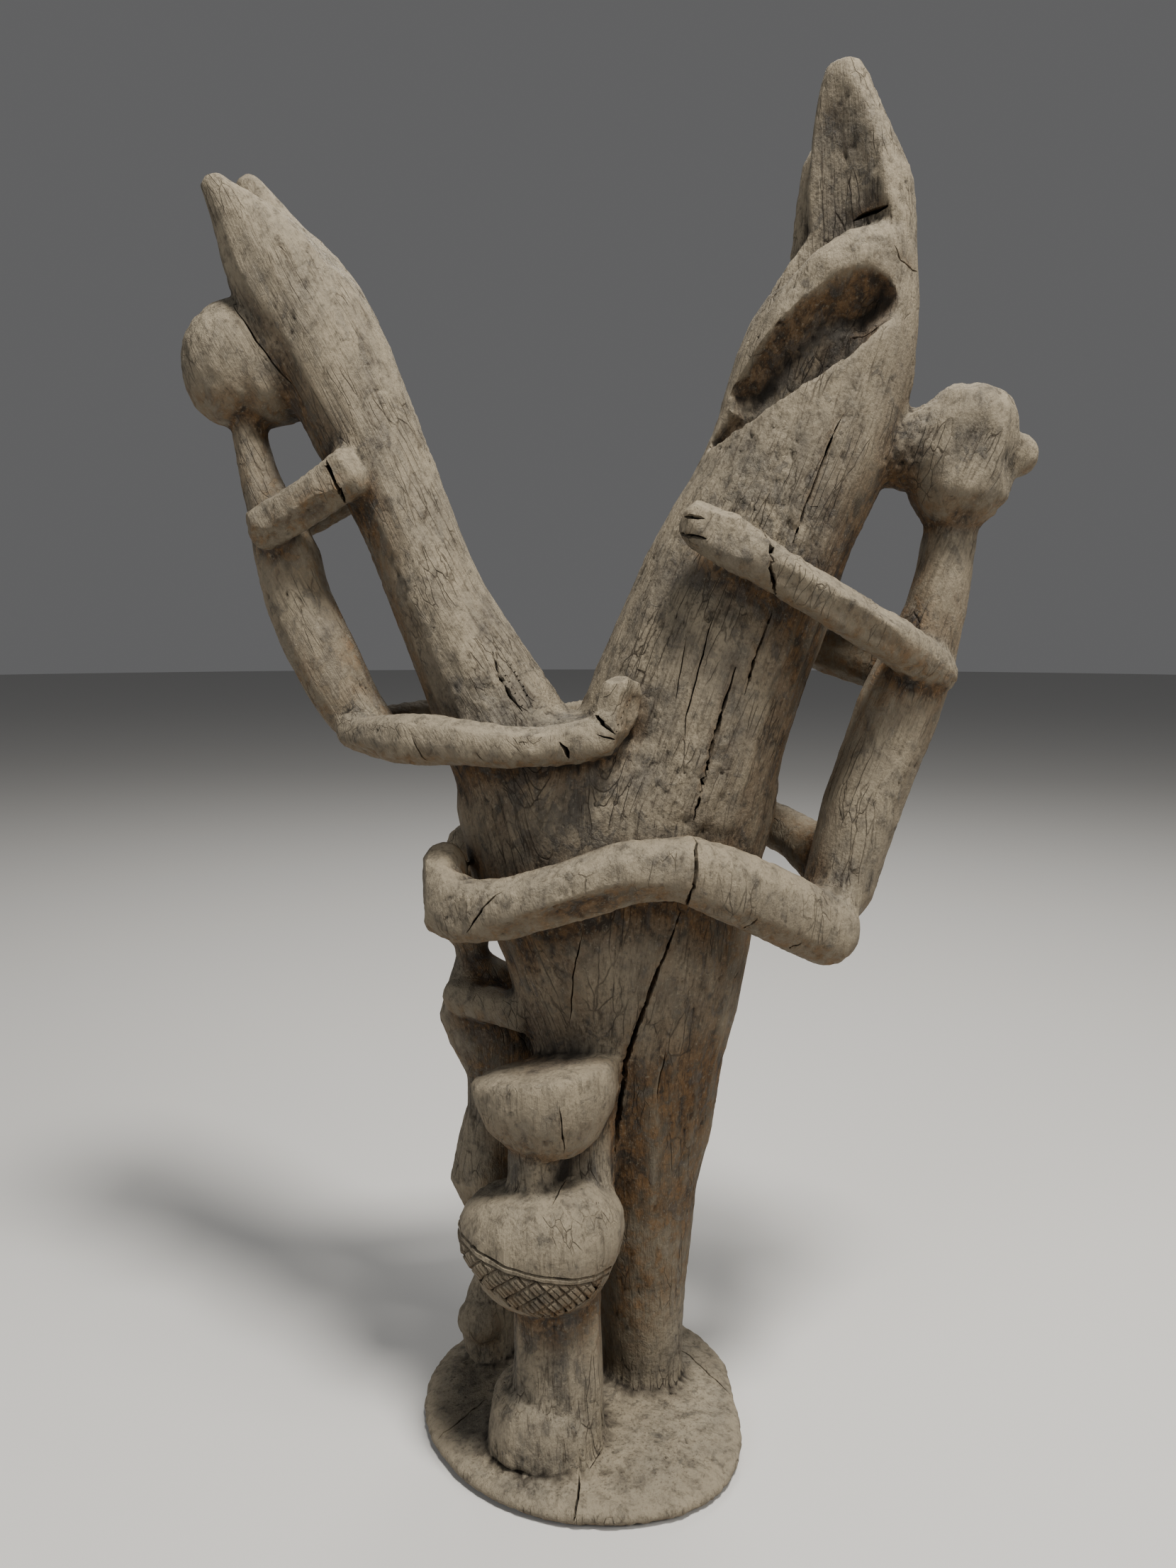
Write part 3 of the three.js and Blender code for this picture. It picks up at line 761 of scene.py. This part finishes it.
def wood_material(colours):
    """Bare weathered wood: dust and painted top light where the sky reaches, darker brown below as painted shade that
    is partly the sheltered wood's own colour, crusted, streaked and checked, with painted shade in creases and broad
    recesses.
    """
    material = bpy.data.materials.new("weathered_wood")
    n = WoodNodes(material)
    grain = n.add("ShaderNodeAttribute", attribute_name="grain_place").outputs["Vector"]
    hollow = n.add("ShaderNodeAttribute", attribute_name="hollow").outputs["Fac"]
    bend = n.add("ShaderNodeAttribute", attribute_name="bend").outputs["Fac"]
    sky = n.add("ShaderNodeAttribute", attribute_name="open_sky").outputs["Fac"]
    stains_and_shade = n.add("ShaderNodeAttribute", attribute_name="stains_and_shade").outputs["Vector"]
    split = n.add("ShaderNodeSeparateXYZ", {"Vector": stains_and_shade})
    # The stains' amounts: patina, warm wood and dust; on the left figure's torso the first two are painted shadow.
    patina_and_shade_here, warm_and_shade_here, dust_here = split.outputs
    place = n.add("ShaderNodeTexCoord").outputs["Object"]
    facing = n.add("ShaderNodeNewGeometry").outputs["True Normal"]
    level = n.calc("ABSOLUTE", n.add("ShaderNodeSeparateXYZ", {"Vector": facing}).outputs["Z"])
    upright = n.spread(level, 0.55, 0.8, 1.0, 0.0)

    broad = n.noise(place, (24, 24, 32), 3)
    blotch = n.noise(place, (7, 7, 10), 5, 0.62, 0.5)
    speck = n.noise(place, (1.9, 1.9, 2.3), 4, 0.6)
    streak = n.noise(grain, (1.7, 1.7, 30), 4, 0.6)
    fibre = n.noise(grain, (0.8, 0.8, 14), 4, 0.6)

    brown = n.mix(n.spread(blotch, 0.38, 0.62), rgba(colours.dark), rgba(colours.warm))
    grey = n.mix(n.spread(broad, 0.36, 0.64), rgba(colours.middle), rgba(colours.pale))
    grey = n.mix(n.spread(blotch, 0.5, 0.7, 0.0, 0.6), grey, rgba(colours.patina))
    # Painted shade: the wood turns darker brown where little sky reaches, under limbs and in the fork; this is partly
    # the sheltered wood's own warmer colour.
    sky_lit_share = n.calc("ADD", sky, n.calc("MULTIPLY", n.calc("SUBTRACT", blotch, 0.5), 0.45))
    sky_lit_share = n.calc("ADD", sky_lit_share, n.calc("MULTIPLY", dust_here, 0.3))
    sky_lit_share = n.calc("SUBTRACT", sky_lit_share, n.calc("MULTIPLY", warm_and_shade_here, 0.42))
    wood = n.mix(n.spread(sky_lit_share, 0.22, 0.46), brown, grey)

    crust_edge = n.noise(place, (11, 11, 17), 7, 0.68, 0.7)
    crust_sum = n.calc("ADD", crust_edge, n.calc("MULTIPLY", patina_and_shade_here, 0.2))
    crust = n.spread(crust_sum, 0.565, 0.615)
    wood = n.mix(n.calc("MULTIPLY", crust, 0.62), wood, rgba(colours.patina))

    # Dust with painted top light: paler beige on the tops that see most sky.
    dust_and_top_light = n.calc("ADD", n.spread(sky, 0.5, 0.98), n.calc("MULTIPLY", dust_here, 0.35))
    dust_and_top_light = n.calc("MULTIPLY", dust_and_top_light, n.spread(blotch, 0.62, 0.4, 0.15, 0.9), clamp=True)
    wood = n.mix(dust_and_top_light, wood, rgba(colours.dust))

    dark_lines = n.calc("MULTIPLY", n.spread(streak, 0.52, 0.68, 0.0, 0.7), n.spread(upright, 0, 1, 0.3, 1.0))
    wood = n.mix(dark_lines, wood, rgba(colours.dark))
    wood = n.mix(n.spread(fibre, 0.55, 0.75, 0.0, 0.35), wood, rgba(colours.pale))
    wood = n.mix(n.spread(speck, 0.54, 0.68, 0.0, 0.55), wood, rgba(colours.dark))
    wood = n.mix(n.spread(speck, 0.42, 0.3, 0.0, 0.35), wood, rgba(colours.dust))

    checked = n.spread(n.noise(place, (30, 30, 44), 2), 0.5, 0.6)
    checks = n.calc("MULTIPLY", line_net(n, grain, (6, 6, 42), 0.045), n.calc("MULTIPLY", checked, upright))
    wood = n.mix(n.calc("MULTIPLY", checks, 0.8), wood, rgba(colours.dark))

    worn_edge = n.calc("MULTIPLY", n.spread(bend, -0.5, -2.6), n.spread(blotch, 0.64, 0.42, 0.2, 0.8))
    wood = n.mix(n.calc("MULTIPLY", worn_edge, 0.75), wood, rgba(colours.pale))
    # Painted shade in broad recesses, where the surface lies well below its wider surroundings.
    wood = n.mix(n.spread(bend, 0.8, 4.0, 0.0, 0.4), wood, rgba(colours.dark))
    # Painted shade in creases, joins and cracks, where the surface lies below its neighbours.
    wood = n.mix(n.spread(hollow, 0.35, 1.3, 0.0, 0.95), wood, rgba(colours.painted_crease_shade))

    roughness = n.spread(n.calc("ADD", blotch, n.calc("MULTIPLY", crust, -0.25)), 0.2, 0.65, 0.66, 0.93)

    height = n.calc("MULTIPLY", speck, 0.8)
    height = n.calc("ADD", height, n.calc("MULTIPLY", blotch, 0.8))
    height = n.calc("ADD", height, n.calc("MULTIPLY", streak, 0.9))
    height = n.calc("ADD", height, n.calc("MULTIPLY", fibre, 0.35))
    height = n.calc("ADD", height, n.calc("MULTIPLY", crust, 0.22))
    height = n.calc("SUBTRACT", height, n.calc("MULTIPLY", checks, 0.7))
    bump = n.add("ShaderNodeBump", {"Strength": 1.0, "Distance": MM, "Height": height})

    shader = n.add(
        "ShaderNodeBsdfPrincipled",
        {"Base Color": wood, "Roughness": roughness, "Normal": bump.outputs["Normal"], "IOR": 1.45,
         "Specular IOR Level": 0.3},
    )
    n.add("ShaderNodeOutputMaterial", {"Surface": shader.outputs[0]})
    return material


class PostSizes(bpy.types.PropertyGroup):
    """Sizes of the surface work on the post."""

    face_size: FloatProperty(
        name="Face size", description="Size of the even faces before thinning",
        default=1.5 * MM, min=0.8 * MM, max=6 * MM, unit="LENGTH", precision=5,
    )
    rounding: IntProperty(
        name="Rounding", description="How far edges are rounded",
        default=9, min=0, max=80,
    )
    join_fill: IntProperty(
        name="Join fill", description="How far inward corners are filled",
        default=3, min=0, max=20,
    )
    most_triangles: IntProperty(
        name="Most triangles", description="The piece is thinned to about this many triangles",
        default=192000, min=20000, max=198000,
    )
    line_width: FloatProperty(
        name="Line width", description="Width of the incised lines on the bowl",
        default=2.5 * MM, min=0.5 * MM, max=4 * MM, unit="LENGTH", precision=5,
    )
    line_depth: FloatProperty(
        name="Line depth", description="Depth of the incised lines on the bowl",
        default=1.9 * MM, min=0.3 * MM, max=4 * MM, unit="LENGTH", precision=5,
    )


def colour_property(name, description, default):
    return FloatVectorProperty(
        name=name, description=description, default=default, size=3, min=0, max=1, subtype="COLOR",
    )


class WoodColours(bpy.types.PropertyGroup):
    """Colours of the weathered wood, and of the shade and light painted into it."""

    pale: colour_property("Pale wood", "Dry, worn wood and rubbed edges", (0.22, 0.185, 0.13))
    middle: colour_property("Middle wood", "The open wood's main grey-brown", (0.098, 0.085, 0.066))
    # Warm wood is also the brown painted shade under limbs, besides the sheltered wood's own orange-brown.
    warm: colour_property("Warm wood", "Sheltered orange-brown wood", (0.125, 0.07, 0.03))
    # Dark wood also paints shade: in the brown under limbs and in broad recesses.
    dark: colour_property("Dark wood", "Grain lines, pits and sheltered wood", (0.024, 0.017, 0.011))
    patina: colour_property("Patina", "Cool dark crust", (0.045, 0.041, 0.036))
    # Dust also paints the light on open tops, besides real dust and specks.
    dust: colour_property("Dust", "Beige dust where the sky reaches", (0.27, 0.24, 0.18))
    # Painted shade: the colour put into creases, joins and cracks by the hollow mask.
    painted_crease_shade: colour_property("Deep cracks", "Inside the cracks and cuts", (0.012, 0.009, 0.006))


class StageLook(bpy.types.PropertyGroup):
    """The floor, the lights and the camera."""

    floor_colour: colour_property("Floor", "The plain pale floor", (0.55, 0.545, 0.53))
    sky_colour: colour_property("Surround", "The pale surround", (0.62, 0.62, 0.63))
    sky_strength: FloatProperty(name="Surround strength", description="Light from all round", default=0.2, min=0)
    camera_distance: FloatProperty(
        name="Camera distance", description="From the post's middle plane", default=0.734, min=0.3, unit="LENGTH",
    )
    camera_height: FloatProperty(
        name="Camera height", description="Above the floor", default=0.526, min=0.0, unit="LENGTH",
    )
    camera_side: FloatProperty(
        name="Camera side", description="To the right of the middle", default=0.002, unit="LENGTH",
    )
    camera_pitch: FloatProperty(
        name="Camera pitch", description="Looking down", default=math.radians(7.6), subtype="ANGLE",
    )
    lens: FloatProperty(name="Lens", description="Focal length in mm", default=27.04, min=10, max=200)


class POST_OT_carve(bpy.types.Operator):
    """Make the weathered post over the plain solid"""

    bl_idname = "post.carve"
    bl_label = "Carve Post"
    bl_options = {"REGISTER", "UNDO"}

    def execute(self, context):
        sizes = context.scene.post_sizes
        piece = solid_copy()
        soften(piece, sizes)
        fill_joins(piece, sizes.join_fill)
        melt_joins(piece)
        carve_forms(piece)
        weather(piece)
        surface = surface_of(piece)
        cracks = [
            crack_stations(surface, path, width, depth, seed)
            for seed, (path, width, depth) in enumerate(CRACKS.values())
        ]
        notches = [
            crack_stations(surface, path, width, depth, 90 + seed, wander=0.3)
            for seed, (path, width, depth) in enumerate(FINGER_GAPS.values())
        ]
        for seed, row in enumerate(HOLE_ROWS.values()):
            notches += hole_stations(surface, *row, 70 + seed)
        groups = bowl_lines(surface, sizes)
        cut(piece, cracks, "cracks")
        cut(piece, notches, "notches")
        for group, name in zip(groups, ("bowl_rings", "bowl_right", "bowl_left", "bowl_fine")):
            cut(piece, group, name)
        thin_out(piece, sizes.most_triangles)
        record_surface(piece)
        piece.data.shade_smooth()
        piece.data.set_sharp_from_angle(angle=math.radians(48))
        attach(piece, "root")
        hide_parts(SOLID)
        return {"FINISHED"}


class POST_OT_wood(bpy.types.Operator):
    """Give the post its weathered wood"""

    bl_idname = "post.wood"
    bl_label = "Finish Wood"
    bl_options = {"REGISTER", "UNDO"}

    def execute(self, context):
        piece = bpy.data.objects.get(PIECE)
        if piece is None:
            raise RuntimeError("carve the post before its wood is finished")
        material = wood_material(context.scene.post_colours)
        piece.data.materials.clear()
        piece.data.materials.append(material)
        return {"FINISHED"}


def area_light(name, place, target, size, power, colour):
    light = bpy.data.lights.new(name, "AREA")
    light.shape = "DISK"
    light.size = size
    light.energy = power
    light.color = colour
    lamp = bpy.data.objects.new(name, light)
    lamp.location = place
    lamp.rotation_euler = (Vector(target) - Vector(place)).to_track_quat("-Z", "Y").to_euler()
    bpy.context.scene.collection.objects.link(lamp)


def plain_material(name, colour, roughness):
    material = bpy.data.materials.new(name)
    n = WoodNodes(material)
    shader = n.add("ShaderNodeBsdfPrincipled", {"Base Color": rgba(colour), "Roughness": roughness})
    n.add("ShaderNodeOutputMaterial", {"Surface": shader.outputs[0]})
    return material


class POST_OT_stage(bpy.types.Operator):
    """Make the floor, the lights and the camera"""

    bl_idname = "post.stage"
    bl_label = "Set Stage"
    bl_options = {"REGISTER", "UNDO"}

    def execute(self, context):
        look = context.scene.post_stage
        work = bmesh.new()
        bmesh.ops.create_circle(work, cap_ends=True, segments=96, radius=14)
        floor = new_piece("floor", work)
        floor.data.materials.append(plain_material("pale_floor", look.floor_colour, 0.9))

        world = bpy.data.worlds.new("surround")
        world.use_nodes = True
        background = world.node_tree.nodes["Background"]
        background.inputs["Color"].default_value = rgba(look.sky_colour)
        background.inputs["Strength"].default_value = look.sky_strength
        context.scene.world = world

        middle = (0.02, 0, 0.45)
        area_light("key", (0.45, -0.75, 2.5), middle, 0.45, 95, (1.0, 0.96, 0.9))
        area_light("left_fill", (-1.5, -1.5, 1.3), middle, 1.0, 12, (0.95, 0.97, 1.0))
        area_light("right_fill", (1.6, -1.1, 1.5), middle, 0.8, 22, (1.0, 0.97, 0.92))
        area_light("back", (0.2, 1.6, 2.0), middle, 1.0, 16, (1.0, 0.98, 0.95))

        camera = bpy.data.objects.new("camera", bpy.data.cameras.new("camera"))
        camera.data.lens = look.lens
        camera.data.sensor_width = 36
        camera.data.clip_start = 0.02
        camera.location = (look.camera_side, -look.camera_distance, look.camera_height)
        camera.rotation_euler = (math.pi / 2 - look.camera_pitch, 0, 0)
        context.scene.collection.objects.link(camera)
        context.scene.camera = camera
        return {"FINISHED"}


class POST_PT_panel(bpy.types.Panel):
    """Lists the post's steps and settings"""

    bl_label = "Forked Post"
    bl_idname = "POST_PT_panel"
    bl_space_type = "VIEW_3D"
    bl_region_type = "UI"
    bl_category = "Post"

    def draw(self, context):
        layout = self.layout
        for name in STEPS:
            layout.operator(f"post.{name}")
        for group in (context.scene.post_sizes, context.scene.post_colours, context.scene.post_stage):
            box = layout.box()
            for key in group.__annotations__:
                box.prop(group, key)


STEPS = ("carve", "wood", "stage")
CLASSES = (PostSizes, WoodColours, StageLook, POST_OT_carve, POST_OT_wood, POST_OT_stage, POST_PT_panel)


def register():
    for kind in CLASSES:
        bpy.utils.register_class(kind)
    bpy.types.Scene.post_sizes = PointerProperty(type=PostSizes)
    bpy.types.Scene.post_colours = PointerProperty(type=WoodColours)
    bpy.types.Scene.post_stage = PointerProperty(type=StageLook)


def unregister():
    for name in ("post_sizes", "post_colours", "post_stage"):
        delattr(bpy.types.Scene, name)
    for kind in reversed(CLASSES):
        bpy.utils.unregister_class(kind)


def main():
    register()
    for name in STEPS:
        getattr(bpy.ops.post, name)()


if __name__ == "__main__":
    main()
